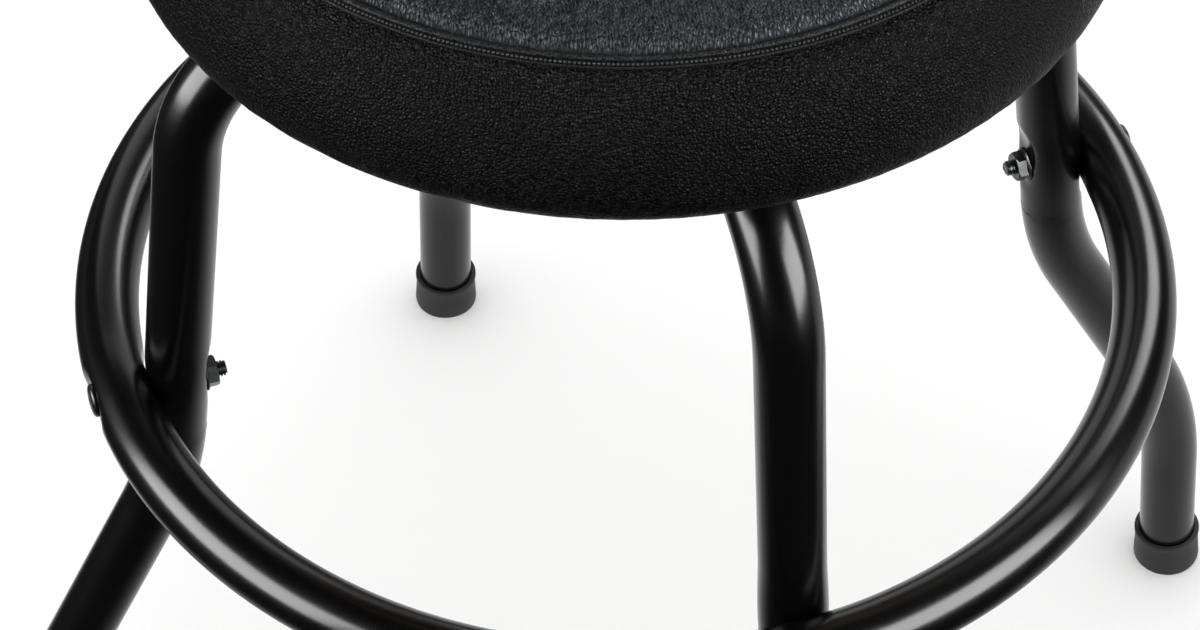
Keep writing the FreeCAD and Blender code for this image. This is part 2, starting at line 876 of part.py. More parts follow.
pinBore = size("pin_radius") + size("running_gap")
bushLipBottom = swivelBottom - size("bush_lip_height")
nodes.append(turnedPiece("pivot_bush", [
    (pinBore, bushLipBottom), (size("bush_lip_radius"), bushLipBottom),
    (size("bush_lip_radius"), swivelBottom), (size("swivel_bore"), swivelBottom),
    (size("swivel_bore"), bushTop), (pinBore, bushTop),
]))


# Seat board with its holes for the tee nuts, which the screws pull up against the plate.
teeHole = size("tee_barrel_radius") + size("thread_gap")
teeSeat = boardTop - size("tee_flange_height")


def seatBoard():
    body = newBody("seat_board")
    outline = newSketch(body, "seat_board_outline", "XY_Plane", swivelTop)
    drawCircle(outline, 0, 0, size("board_radius"))
    drawCircle(outline, 0, 0, size("board_bore"))
    pad(body, outline, size("board_thickness"))
    hole = newSketch(body, "seat_board_hole", "XY_Plane", boardTop)
    drawCircle(hole, size("screw_place"), size("screw_place"), teeHole)
    through = pocket(body, hole, size("board_thickness"))
    recess = newSketch(body, "seat_board_recess", "XY_Plane", boardTop)
    drawCircle(recess, size("screw_place"), size("screw_place"), size("tee_flange_radius"))
    sunk = pocket(body, recess, size("tee_flange_height"))
    roundPattern(body, [through, sunk], 4)
    turnToLegs(body)
    return body


def atScrew(body, name, points):
    """A turned feature on the upright line through a seat screw."""
    profile = newSketch(body, name)
    place = size("screw_place") * math.sqrt(2)
    profile.AttachmentOffset = FreeCAD.Placement(
        FreeCAD.Vector(place.value, 0, 0), FreeCAD.Rotation()
    )
    bind(profile, ".AttachmentOffset.Base.x", place)
    drawOutline(profile, points)
    return revolve(body, profile)


def teeNuts():
    body = newBody("tee_nuts")
    bore = size("bolt_radius") + size("thread_gap")
    low = teeSeat - size("tee_barrel_length")
    turned = atScrew(body, "tee_nuts_profile", [
        (bore, low), (size("tee_barrel_radius"), low), (size("tee_barrel_radius"), teeSeat),
        (size("tee_flange_radius"), teeSeat), (size("tee_flange_radius"), boardTop),
        (bore, boardTop),
    ])
    roundPattern(body, [turned], 4)
    turnToLegs(body, 45)
    return body


def seatScrews():
    body = newBody("seat_screws")
    head, shank = size("head_radius"), size("bolt_radius")
    low = swivelBottom - size("head_height")
    tip = swivelBottom + size("screw_length")
    turned = atScrew(body, "seat_screws_profile", [
        (0, low), (head * 0.8, low), (head, low + size("head_crown")), (head, swivelBottom),
        (shank, swivelBottom), (shank, tip), (0, tip),
    ])
    roundPattern(body, [turned], 4)
    turnToLegs(body, 45)
    return body


nodes.append(seatBoard())
nodes.append(teeNuts())
nodes.append(seatScrews())

# Upholstery. The outside runs from the hem under the board round the rim, up the side to
# the seam, and over the shoulder and crown. The foam is the same outline, one cover in.
rimHeight = swivelTop - size("cover_thickness") + size("rim_curve")
rimRadius = size("seat_radius") - size("rim_curve")
sideCentre = size("seat_radius") - size("side_curve")
leanSine = size("side_rise") / size("side_curve")
leanCosine = root(1 - leanSine * leanSine)
shoulderCosine = cosine(size("shoulder_end"))
shoulderSine = sine(size("shoulder_end"))


def shell(inset):
    """Points of the outline, the inset in from the outside."""
    side = size("side_curve") - inset
    sideEnd = (sideCentre + leanCosine * side, rimHeight + leanSine * side)
    seamEnd = (
        sideEnd[0] - leanSine * size("seam_width"),
        sideEnd[1] + leanCosine * size("seam_width"),
    )
    shoulder = size("shoulder_curve") - inset
    centre = (seamEnd[0] - leanCosine * shoulder, seamEnd[1] - leanSine * shoulder)
    shoulderEnd = (centre[0] + shoulderCosine * shoulder, centre[1] + shoulderSine * shoulder)
    crown = shoulderEnd[0] / shoulderCosine
    top = shoulderEnd[1] + crown * (1 - shoulderSine)
    return {
        "hem": (size("hem_radius"), rimHeight - size("rim_curve") + inset),
        "under": (rimRadius, rimHeight - size("rim_curve") + inset),
        "rim": (size("seat_radius") - inset, rimHeight, size("rim_curve") - inset),
        "side": sideEnd + (side,),
        "seam": seamEnd,
        "shoulder": shoulderEnd + (shoulder,),
        "top": (asSize(0), top, crown),
    }


outside = shell(asSize(0))
inside = shell(size("cover_thickness"))

nodes.append(turnedPiece("seat_foam", [
    (0, boardTop), (size("board_radius"), boardTop), (size("board_radius"), swivelTop),
    inside["under"], inside["rim"], inside["side"], inside["seam"], inside["shoulder"],
    inside["top"],
]))
nodes.append(turnedPiece("seat_band", [
    outside["hem"], outside["under"], outside["rim"], outside["side"],
    inside["side"][:2], inside["rim"][:2] + (-inside["side"][2],),
    inside["under"] + (-inside["rim"][2],), inside["hem"],
]))
nodes.append(turnedPiece("seat_top", [
    outside["seam"], outside["shoulder"], outside["top"], inside["top"][:2],
    inside["shoulder"][:2] + (-inside["top"][2],),
    inside["seam"] + (-inside["shoulder"][2],),
]))


def seamProud(point):
    reach = size("seam_proud")
    return (point[0] + leanCosine * reach, point[1] + leanSine * reach)


nodes.append(turnedPiece("seat_seam", [
    inside["side"][:2], seamProud(outside["side"]), seamProud(outside["seam"]), inside["seam"],
]))


def seatStaples():
    """Staples through the hem, with their crowns along its edge and both legs up."""
    body = newBody("seat_staples")
    face = outside["hem"][1]
    wire, half = size("staple_wire"), size("staple_crown") / 2
    section = newSketch(body, "seat_staples_section", "YZ_Plane", size("staple_circle"))
    top = face + size("staple_leg")
    drawOutline(section, [
        (-half, face - wire), (half, face - wire), (half, top), (half - wire, top),
        (half - wire, face), (wire - half, face), (wire - half, top), (-half, top),
    ])
    bar = pad(body, section, wire)
    roundPattern(body, [bar], size("staple_count"))
    turnToLegs(body)
    return body


nodes.append(seatStaples())

# Check the whole document, then write one file for each sub-part.
doc.recompute()
for thing in doc.Objects:
    if "Invalid" in thing.State or "Error" in thing.State:
        raise RuntimeError(f"{thing.Name} did not rebuild: {thing.State}")
for node in nodes:
    if node.Shape.isNull() or not node.Shape.isValid():
        raise RuntimeError(f"{node.Label} has no valid shape")

os.makedirs("parts", exist_ok=True)
for node in nodes:
    node.Shape.exportStep(f"parts/{node.Label}.step")
    print(node.Label, len(node.Shape.Solids), round(node.Shape.Volume, 1))
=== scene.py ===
import math
import bpy
import bmesh
from mathutils import Euler, Matrix, Quaternion, Vector, noise


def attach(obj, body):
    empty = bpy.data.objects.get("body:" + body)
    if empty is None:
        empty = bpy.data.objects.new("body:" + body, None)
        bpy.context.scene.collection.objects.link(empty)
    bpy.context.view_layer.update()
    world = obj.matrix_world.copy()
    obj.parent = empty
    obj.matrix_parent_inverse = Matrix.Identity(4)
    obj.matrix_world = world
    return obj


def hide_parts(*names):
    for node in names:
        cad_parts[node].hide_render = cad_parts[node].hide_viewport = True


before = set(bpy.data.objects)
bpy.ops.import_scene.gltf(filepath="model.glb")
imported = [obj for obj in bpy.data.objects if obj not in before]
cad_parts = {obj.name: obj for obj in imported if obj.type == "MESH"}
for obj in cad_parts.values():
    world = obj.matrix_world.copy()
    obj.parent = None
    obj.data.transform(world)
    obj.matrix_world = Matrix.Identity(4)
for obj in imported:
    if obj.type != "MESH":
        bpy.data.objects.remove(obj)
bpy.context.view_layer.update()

legAngles = [math.radians(45 + 90 * k) for k in range(4)]
zAxis = Vector((0, 0, 1))


# Working in object and edit mode.

def pickOnly(piece):
    if bpy.context.object and bpy.context.object.mode != "OBJECT":
        bpy.ops.object.mode_set(mode="OBJECT")
    bpy.ops.object.select_all(action="DESELECT")
    piece.select_set(True)
    bpy.context.view_layer.objects.active = piece


def newPiece(name, addPrimitive, **settings):
    bpy.ops.object.select_all(action="DESELECT")
    addPrimitive(**settings)
    piece = bpy.context.object
    piece.name = piece.data.name = name
    bpy.ops.object.transform_apply(location=True, rotation=True, scale=True)
    return piece


def openEdit(piece, mode="VERT"):
    pickOnly(piece)
    bpy.ops.object.mode_set(mode="EDIT")
    bpy.ops.mesh.select_mode(type=mode)
    bpy.ops.mesh.select_all(action="DESELECT")


def closeEdit():
    bpy.ops.object.mode_set(mode="OBJECT")


def selectWhere(piece, kind, test):
    mesh = bmesh.from_edit_mesh(piece.data)
    for item in getattr(mesh, kind):
        item.select_set(test(item))
    mesh.select_flush_mode()
    bmesh.update_edit_mesh(piece.data)


def outwardNormals(piece):
    openEdit(piece)
    bpy.ops.mesh.select_all(action="SELECT")
    bpy.ops.mesh.remove_doubles(threshold=0.000005)
    bpy.ops.mesh.normals_make_consistent(inside=False)
    closeEdit()


def finishWith(piece, kind, **settings):
    pickOnly(piece)
    modifier = piece.modifiers.new(kind.title(), kind)
    for key, value in settings.items():
        setattr(modifier, key, value)
    if kind == "SUBSURF":
        modifier.levels = modifier.render_levels
    bpy.ops.object.modifier_apply(modifier=modifier.name)


def cutWith(piece, tool, operation):
    pickOnly(piece)
    cut = piece.modifiers.new("Cut", "BOOLEAN")
    cut.operation, cut.object, cut.solver = operation, tool, "EXACT"
    bpy.ops.object.modifier_apply(modifier=cut.name)
    bpy.data.objects.remove(tool)


def smoothShade(piece, degrees=40):
    pickOnly(piece)
    bpy.ops.object.shade_smooth_by_angle(angle=math.radians(degrees))


def turned(piece, angle):
    piece.data.transform(Matrix.Rotation(angle, 4, "Z"))
    return piece


def copyOf(piece, name):
    twin = piece.copy()
    twin.data = piece.data.copy()
    twin.name = twin.data.name = name
    bpy.context.collection.objects.link(twin)
    return twin


def joined(name, pieces):
    pickOnly(pieces[0])
    for piece in pieces[1:]:
        piece.select_set(True)
    bpy.ops.object.join()
    whole = bpy.context.object
    whole.name = whole.data.name = name
    return whole


def handIn(piece, body, material, nodes=()):
    piece.data.materials.clear()
    piece.data.materials.append(material)
    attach(piece, body)
    if nodes:
        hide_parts(*nodes)
    return piece


def lathe(name, profile, segments=96):
    # Each entry of the profile is (radius, height). A radius of 0 closes the piece.
    first = profile[0]
    piece = newPiece(
        name, bpy.ops.mesh.primitive_circle_add, vertices=segments, radius=max(first[0], 0.0001),
        location=(0, 0, first[1]),
    )
    openEdit(piece)
    bpy.ops.mesh.select_all(action="SELECT")
    if first[0] == 0:
        bpy.ops.mesh.edge_face_add()
    radius, height = max(first[0], 0.0001), first[1]
    for nextRadius, nextHeight in profile[1:]:
        bpy.ops.mesh.extrude_region_move(
            TRANSFORM_OT_translate={"value": (0, 0, nextHeight - height)}
        )
        grow = max(nextRadius, 0.0001) / radius
        bpy.ops.transform.resize(value=(grow, grow, 1), center_override=(0, 0, nextHeight))
        radius, height = max(nextRadius, 0.0001), nextHeight
    if profile[-1][0] == 0:
        bpy.ops.mesh.merge(type="CENTER")
    closeEdit()
    outwardNormals(piece)
    return piece


def arcPoints(centre, radius, start, end, steps):
    angles = [math.radians(start + (end - start) * k / steps) for k in range(steps + 1)]
    return [(centre[0] + radius * math.cos(a), centre[1] + radius * math.sin(a)) for a in angles]


# Shader maths: a Wire is a socket that answers to + - * and passes through nodes.

class Wire:
    def __init__(self, graph, socket):
        self.graph = graph
        self.socket = socket

    def __add__(self, other):
        return self.graph.node("Math", {"operation": "ADD"}, {0: self, 1: other})

    def __sub__(self, other):
        return self.graph.node("Math", {"operation": "SUBTRACT"}, {0: self, 1: other})

    def __mul__(self, other):
        return self.graph.node("Math", {"operation": "MULTIPLY"}, {0: self, 1: other})

    def __rsub__(self, other):
        return self.graph.node("Math", {"operation": "SUBTRACT"}, {0: other, 1: self})

    __radd__ = __add__
    __rmul__ = __mul__


class Graph:
    def __init__(self, name):
        self.material = bpy.data.materials.new(name)
        self.material.use_nodes = True
        self.tree = self.material.node_tree
        self.shader = self.tree.nodes["Principled BSDF"]

    def node(self, kind, settings=None, inputs=None, output=0):
        made = self.tree.nodes.new("ShaderNode" + kind)
        for key, value in (settings or {}).items():
            setattr(made, key, value)
        for key, value in (inputs or {}).items():
            self.feed(made.inputs[key], value)
        return Wire(self, made.outputs[output])

    def feed(self, socket, value):
        if isinstance(value, Wire):
            self.tree.links.new(value.socket, socket)
        else:
            socket.default_value = value

    def place(self, scale=(1, 1, 1), turn=(0, 0, 0)):
        spot = self.node("TexCoord", output="Object")
        return self.node("Mapping", {}, {"Vector": spot, "Scale": scale, "Rotation": turn})

    def noise(self, spot, scale, detail=3, roughness=0.5):
        return self.node("TexNoise", {}, {
            "Vector": spot, "Scale": scale, "Detail": detail, "Roughness": roughness,
        })

    def cells(self, spot, scale, feature="DISTANCE_TO_EDGE"):
        return self.node("TexVoronoi", {"feature": feature}, {"Vector": spot, "Scale": scale})

    def mix(self, share, first, second):
        return self.node("Mix", {"data_type": "RGBA"}, {0: share, 6: first, 7: second}, 2)

    def smoothly(self, value, low, high):
        return self.node("MapRange", {"interpolation_type": "SMOOTHSTEP"}, {
            "Value": value, "From Min": low, "From Max": high,
        })

    def bump(self, height, distance, strength=1.0):
        return self.node("Bump", {}, {"Height": height, "Distance": distance, "Strength": strength})

    def set(self, **values):
        for key, value in values.items():
            self.feed(self.shader.inputs[key.replace("_", " ")], value)
        return self.material


def grey(value, tint=0.0):
    return (value, value * (1 + tint * 0.5), value * (1 + tint), 1)


# Camera first: everything else is judged through it.
camera = {
    "position": (-0.0103, -1.0078, 1.3370),
    "legTurn": 45 - 18.9,
    "pitch": 46.86,
    "roll": -0.37,
    "lens": 108.44,
}


def makeCamera(plan):
    data = bpy.data.cameras.new("camera")
    data.sensor_width = 36
    data.lens = plan["lens"]
    data.clip_start, data.clip_end = 0.05, 50
    view = bpy.data.objects.new("camera", data)
    bpy.context.collection.objects.link(view)
    turn = Quaternion(zAxis, math.radians(plan["legTurn"]))
    look = Euler((math.radians(90 - plan["pitch"]), 0, 0)).to_quaternion()
    view.rotation_mode = "QUATERNION"
    view.rotation_quaternion = turn @ look @ Quaternion(zAxis, math.radians(plan["roll"]))
    view.location = turn @ Vector(plan["position"])
    bpy.context.scene.camera = view


makeCamera(camera)
print("camera placed")

# Studio: a pale floor under an even sky, and soft boxes that only draw the streaks in the gloss.
studio = {
    "floorSize": 14,
    "floorShade": 0.9,
    "sky": 1.3,
    "glossLow": 0.75,
    "glossHigh": 0.03,
    "aim": (0, 0, 0.35),
    "boxes": [
        # name, place seen from the camera's side (right, back, up), width, height, power
        ("rightBox", (1.18, -0.72, 1.05), 1.3, 1.0, 108),
        ("leftBox", (-1.40, -0.45, 0.90), 1.3, 0.95, 98),
        ("backBox", (0.90, 1.10, 1.40), 0.8, 0.6, 26),
        ("farBox", (-0.15, 1.25, 0.95), 1.5, 0.8, 8),
    ],
    # What the gloss sees of the floor: dark in front and to the left, bright behind.
    "floorDark": 0.05,
    "floorBright": 1.15,
    "floorRise": (-0.30, 0.05),
    "floorLeft": (-0.50, -0.28),
}


def makeStudio(plan):
    world = bpy.data.worlds.new("studioSky")
    world.use_nodes = True
    tree = world.node_tree
    even = tree.nodes["Background"]
    even.inputs["Strength"].default_value = plan["sky"]
    even.inputs["Color"].default_value = (1, 1, 1, 1)
    # What the gloss sees is calmer than what lights the stool: dim below, darker above.
    calm = tree.nodes.new("ShaderNodeBackground")
    spot, parts = tree.nodes.new("ShaderNodeTexCoord"), tree.nodes.new("ShaderNodeSeparateXYZ")
    fall, either = tree.nodes.new("ShaderNodeMapRange"), tree.nodes.new("ShaderNodeMixShader")
    ray = tree.nodes.new("ShaderNodeLightPath")
    fall.inputs["From Min"].default_value, fall.inputs["From Max"].default_value = -0.5, 0.25
    fall.inputs["To Min"].default_value = plan["glossLow"]
    fall.inputs["To Max"].default_value = plan["glossHigh"]
    for start, end in (
        (spot.outputs["Generated"], parts.inputs[0]), (parts.outputs["Z"], fall.inputs["Value"]),
        (fall.outputs[0], calm.inputs["Strength"]), (ray.outputs["Is Glossy Ray"], either.inputs[0]),
        (even.outputs[0], either.inputs[1]), (calm.outputs[0], either.inputs[2]),
        (either.outputs[0], tree.nodes["World Output"].inputs["Surface"]),
    ):
        tree.links.new(start, end)
    bpy.context.scene.world = world
    floor = newPiece("studioFloor", bpy.ops.mesh.primitive_plane_add, size=plan["floorSize"])
    paint = Graph("studioFloorPaint")
    paint.set(Base_Color=grey(plan["floorShade"]), Roughness=0.9)
    paint.shader.inputs["Specular IOR Level"].default_value = 0.1
    seen = paint.place(turn=(0, 0, math.radians(-camera["legTurn"])))
    right = paint.node("SeparateXYZ", {}, {0: seen}, 0)
    back = paint.node("SeparateXYZ", {}, {0: seen}, 1)
    share = paint.smoothly(back, *plan["floorRise"]) * paint.smoothly(right, *plan["floorLeft"])
    glow = paint.node("Emission", {}, {"Strength": share * plan["floorBright"] + plan["floorDark"]})
    glossRay = paint.node("LightPath", output="Is Glossy Ray")
    shown = paint.node("MixShader", {}, {0: glossRay, 1: Wire(paint, paint.shader.outputs[0]), 2: glow})
    paint.feed(paint.tree.nodes["Material Output"].inputs["Surface"], shown)
    floor.data.materials.append(paint.material)
    turn = Quaternion(zAxis, math.radians(camera["legTurn"]))
    for name, place, width, height, power in plan["boxes"]:
        data = bpy.data.lights.new(name, "AREA")
        data.shape = "RECTANGLE"
        data.size, data.size_y = width, height
        data.energy = power
        light = bpy.data.objects.new(name, data)
        bpy.context.collection.objects.link(light)
        light.location = turn @ Vector(place)
        light.visible_diffuse = False
        light.rotation_mode = "QUATERNION"
        light.rotation_quaternion = (Vector(plan["aim"]) - light.location).to_track_quat("-Z", "Y")


makeStudio(studio)
bpy.context.scene.view_settings.view_transform = "Standard"
print("studio lit")


# Materials. Beside the seam the vinyl is gathered, and its colour carries a painted shadow and a painted
# highlight: heights are up from the floor, reaches out from the axis.
seamPlaces = {
    "gathered": (0.5435, 0.5490),
    # Heights of the seam rib's upper lip, which gets a painted highlight.
    "lip": (0.5507, 0.5518),
    # Reach of the top panel's painted shadow line beside the seam.
    "nearSeamShade": (0.1572, 0.1592),
    "grainStart": (0.06, 0.12),
}


def powderCoat():
    g = Graph("powderCoat")
    spot = g.place()
    peel = g.noise(spot, 900, 2)
    broad = g.noise(spot, 28, 2)
    dust = g.smoothly(g.noise(spot, 2600, 1), 0.74, 0.8)
    return g.set(
        Base_Color=g.mix(dust * 0.25, grey(0.0014), grey(0.03)),
        Roughness=broad * 0.06 + 0.2 + dust * 0.2,
        Specular_IOR_Level=0.2,
        Normal=g.bump(peel, 0.00002, 0.5),
    )


def leather(g, spot, scale, wander):
    # Rounded pebbles with creases between them: height from 0 in the creases to 1 on the pebbles.
    drift = g.node("TexNoise", {}, {"Vector": spot, "Scale": scale * 0.45, "Detail": 1}, 1)
    offset = g.node("VectorMath", {"operation": "MULTIPLY_ADD"}, {
        0: drift, 1: (wander, wander, wander), 2: spot,
    })
    dome = g.smoothly(g.cells(offset, scale, "F1"), 0.72, 0.08)
    crease = g.smoothly(g.cells(offset, scale), 0.0, 0.16)
    small = g.smoothly(g.cells(offset, scale * 2.1, "F1"), 0.7, 0.1)
    return dome * 0.6 + crease * 0.3 + small * 0.14


def vinylTop():
    # The panel's grain is drawn out towards the seam, so it is laid out round the axis.
    g = Graph("vinylTop")
    spot = g.place()
    level = g.place(scale=(1, 1, 0))
    out = g.node("VectorMath", {"operation": "LENGTH"}, {0: level}, 1)
    heading = g.node("VectorMath", {"operation": "NORMALIZE"}, {0: level})
    around = g.node("VectorMath", {"operation": "SCALE"}, {0: heading, "Scale": 0.15})
    rise = g.node("CombineXYZ", {}, {2: out * 0.62})
    polar = g.node("VectorMath", {"operation": "ADD"}, {0: around, 1: rise})
    edge = g.smoothly(out, *seamPlaces["grainStart"])
    relief = leather(g, polar, 790, 0.0005) * edge + leather(g, spot, 680, 0.0006) * (1 - edge)
    # Painted shade and highlight: the colour runs from near black in the creases to lighter on the pebble
    # tops.
    high = g.smoothly(relief, 0.52, 0.84)
    # Painted shade: in the last two millimetres before the seam the colour goes to near black, and the
    # roughness rises there.
    nearSeamShade = g.smoothly(out, *seamPlaces["nearSeamShade"])
    return g.set(
        Base_Color=g.mix(high * (1 - nearSeamShade), grey(0.0003), grey(0.024, 0.22)),
        Roughness=0.44 - high * 0.25 + g.noise(spot, 12, 2) * 0.06 + nearSeamShade * 0.45,
        Specular_IOR_Level=0.13,
        Specular_Tint=(0.86, 0.94, 1, 1),
        Normal=g.bump(relief, 0.0004),
    )


def vinylBand():
    g = Graph("vinylBand")
    spot = g.place()
    wrinkles = g.noise(g.place(scale=(0.4, 0.4, 1.5)), 420, 3, 0.6)
    patch = g.smoothly(g.noise(spot, 16, 2), 0.45, 0.62)
    rise = g.node("SeparateXYZ", {}, {0: spot}, 2)
    folds = g.smoothly(g.noise(g.place(scale=(1, 1, 0.3)), 520, 2), 0.4, 0.6)
    gathered = g.smoothly(rise, *seamPlaces["gathered"]) * folds
    relief = leather(g, spot, 820, 0.0011) + wrinkles * (patch * 0.5 + 0.15) + gathered * 0.9
    # Painted shade and highlight: the colour is near black in the creases and lighter on the pebbles and
    # on the puckers beside the seam.
    high = g.smoothly(relief, 0.5, 1.15)
    return g.set(
        Base_Color=g.mix(high, grey(0.0003), grey(0.0045, -0.05)),
        Roughness=0.44 - high * 0.18 + g.noise(spot, 9, 2) * 0.06,
        Specular_IOR_Level=0.036,
        Normal=g.bump(relief, 0.00046),
    )


def vinylSeam():
    g = Graph("vinylSeam")
    spot = g.place()
    relief = leather(g, spot, 1100, 0.0005)
    rise = g.node("SeparateXYZ", {}, {0: spot}, 2)
    # Painted highlight: only the rib's upper lip is coloured lighter, and there the creases are painted
    # dark.
    lip = g.smoothly(rise, *seamPlaces["lip"])
    return g.set(
        Base_Color=g.mix(relief * lip, grey(0.001), grey(0.014, 0.2)),
        Roughness=0.55 - lip * 0.2 + g.noise(spot, 30, 2) * 0.1,
        Specular_IOR_Level=0.09,
        Normal=g.bump(relief, 0.00018),
    )


def stitchThread():
    g = Graph("stitchThread")
    spot = g.place()
    strands = g.node("TexWave", {"bands_direction": "DIAGONAL"}, {
        "Vector": spot, "Scale": 900, "Distortion": 1.5,
    }, "Fac")
    return g.set(
        Base_Color=g.mix(strands, grey(0.002), grey(0.010, 0.1)),
        Roughness=0.5 + strands * 0.15,
        Specular_IOR_Level=0.25,
        Normal=g.bump(strands, 0.00006),
    )


def rubber():
    g = Graph("capRubber")
    spot = g.place()
    grain = g.noise(spot, 1400, 3)
    scuff = g.smoothly(g.noise(g.place(scale=(1, 1, 0.3)), 120, 4), 0.5, 0.8)
    return g.set(
        Base_Color=g.mix(scuff * 0.5, grey(0.008), grey(0.018)),
        Roughness=0.62 + scuff * 0.1,
        Specular_IOR_Level=0.22,
        Normal=g.bump(grain, 0.00006, 0.6),
    )


def plating(name, shade, tint, rough, brushed=True):
    g = Graph(name)
    spot = g.place(scale=(1, 1, 4) if brushed else (1, 1, 1))
    streak = g.noise(spot, 420, 3)
    stain = g.smoothly(g.noise(spot, 55, 3), 0.35, 0.75)
    return g.set(
        Base_Color=g.mix(stain, grey(shade, tint), grey(shade * 0.72, tint * 1.5)),
        Metallic=1.0,
        Roughness=rough + streak * 0.12 + stain * 0.06,
        Normal=g.bump(streak, 0.00002, 0.5),
    )


def bronze():
    g = Graph("oiledBronze")
    spot = g.place()
    pores = g.smoothly(g.cells(spot, 2200, "F1"), 0.1, 0.45)
    patch = g.noise(spot, 70, 3)
    return g.set(
        Base_Color=g.mix(patch, (0.42, 0.25, 0.1, 1), (0.62, 0.42, 0.2, 1)),
        Metallic=1.0,
        Roughness=0.34 + patch * 0.14,
        Normal=g.bump(pores, 0.00003, 0.5),
    )


def nylon():
    g = Graph("cageNylon")
    spot = g.place()
    return g.set(
        Base_Color=g.mix(g.noise(spot, 40, 2), (0.72, 0.7, 0.62, 1), (0.8, 0.78, 0.72, 1)),
        Roughness=0.42 + g.noise(spot, 300, 2) * 0.08,
        Normal=g.bump(g.noise(spot, 1500, 2), 0.00003, 0.4),
    )


def plywood():
    g = Graph("seatPly")
    rings = g.node("TexWave", {"bands_direction": "Y"}, {
        "Vector": g.place(), "Scale": 14, "Distortion": 9, "Detail": 3, "Detail Scale": 1.4,
    }, "Fac")
    fibre = g.noise(g.place(scale=(1, 9, 1)), 160, 4)
    return g.set(
        Base_Color=g.mix(rings * 0.7 + fibre * 0.3, (0.46, 0.3, 0.16, 1), (0.66, 0.49, 0.3, 1)),
        Roughness=0.6 + fibre * 0.15,
        Normal=g.bump(fibre, 0.0002, 0.6),
    )


finishes = {
    "powder": powderCoat(),
    "vinylTop": vinylTop(),
    "vinylBand": vinylBand(),
    "vinylSeam": vinylSeam(),
    "thread": stitchThread(),
    "rubber": rubber(),
    "blackZinc": plating("blackZinc", 0.035, 0.05, 0.25),
    "brightZinc": plating("brightZinc", 0.4, 0.06, 0.32),
    "ballSteel": plating("ballSteel", 0.75, 0.02, 0.08, brushed=False),
    "staple": plating("stapleWire", 0.6, 0.0, 0.35),
    "bronze": bronze(),
    "nylon": nylon(),
    "ply": plywood(),
}
print("finishes mixed")

# Tube frame. Corners of a leg's centreline, out from the axis and up from the floor.
tube = {
    "radius": 0.0127,
    "wall": 0.0016,
    "sides": 56,
    "corners": [(0.0213, 0.462), (0.1642, 0.462), (0.1921, 0.2414), (0.263, 0.1108), (0.2738, 0)],
    "bends": [0.0585, 0.132, 0.190],
    "bendSteps": [30, 16, 16],
    "solePlate": 0.004,
}
crush = {
    "height": 0.2905,
    "ringRadius": 0.2075,
    "depth": 0.0018,
    "flat": 0.007,
    "ramp": 0.011,
    "blend": 0.0011,
    "spread": 0.05,
    "zone": 0.026,
    "zoneSteps": 44,
}
(topOut, topHeight), (kneeOut, kneeHeight) = tube["corners"][1:3]
kneeShare = (crush["height"] - kneeHeight) / (topHeight - kneeHeight)
legAtRing = kneeOut + (topOut - kneeOut) * kneeShare
meetingPlane = (legAtRing + crush["ringRadius"]) / 2
ringSeat = crush["ringRadius"] + tube["radius"] - crush["depth"]
nutSeat = legAtRing - tube["radius"] + crush["depth"]


def extrudeBy(step):
    bpy.ops.mesh.extrude_region_move(TRANSFORM_OT_translate={"value": tuple(step)})


def bentTube(name, plan):
    points = [Vector((x, 0, z)) for x, z in plan["corners"]]
    heading = (points[1] - points[0]).normalized()
    piece = newPiece(
        name, bpy.ops.mesh.primitive_circle_add, vertices=plan["sides"], radius=plan["radius"],
        location=points[0], rotation=(0, math.pi / 2, 0),
    )
    openEdit(piece)
    bpy.ops.mesh.select_all(action="SELECT")
    at = points[0]
    for corner, after, radius, steps in zip(points[1:], points[2:], plan["bends"], plan["bendSteps"]):
        nextHeading = (after - corner).normalized()
        turn = heading.angle(nextHeading)
        reach = radius * math.tan(turn / 2)
        bendStart = corner - heading * reach
        dense = [crush["height"] + crush["zone"], crush["height"] - crush["zone"]]
        if at.z > dense[0] > bendStart.z:
            top = at + heading * ((dense[0] - at.z) / heading.z)
            low = at + heading * ((dense[1] - at.z) / heading.z)
            extrudeBy(top - at)
            for _ in range(crush["zoneSteps"]):
                extrudeBy((low - top) / crush["zoneSteps"])
            at = low
        extrudeBy(bendStart - at)
        axis = heading.cross(nextHeading).normalized()
        centre = bendStart + axis.cross(heading) * radius
        bpy.ops.mesh.spin(
            steps=steps, angle=-turn, center=tuple(centre), axis=tuple(axis), use_auto_merge=False
        )
        at = corner + nextHeading * reach
        heading = nextHeading
    sole = points[-1] - heading * (plan["solePlate"] / abs(heading.z))
    extrudeBy(sole - at)
    closeEdit()
    outwardNormals(piece)
    return piece


def smoothMin(a, b, soft):
    share = max(0.0, min(1.0, 0.5 + (b - a) / (2 * soft)))
    return b + (a - b) * share - soft * share * (1 - share)


def dentTube(piece, bolts, upright, planes, centreOut):
    # bolts lists the directions out; planes lists (plane, side) pairs; an upright tube runs up.
    for vertex in piece.data.vertices:
        for out in bolts:
            local = vertex.co - zAxis * crush["height"]
            if local.dot(out) <= 0 or abs(local.z) > 0.03:
                continue
            across = out.cross(zAxis)
            run, side = (zAxis, across) if upright else (across, zAxis)
            lateral = abs(local.dot(run))
            if lateral > crush["zone"]:
                continue
            ease = max(0.0, 1 - (lateral / crush["zone"]) ** 2) ** 2
            width = local.dot(side)
            local = local + side * width * crush["spread"] * ease
            for plane, way in planes:
                extra = max(0.0, lateral - crush["flat"]) / crush["ramp"]
                limit = way * plane + crush["depth"] * 1.25 * extra * extra
                reach = way * local.dot(out)
                if reach > way * centreOut:
                    pressed = smoothMin(reach, limit, crush["blend"])
                    local = local + out * way * (pressed - reach)
            vertex.co = local + zAxis * crush["height"]
    return piece


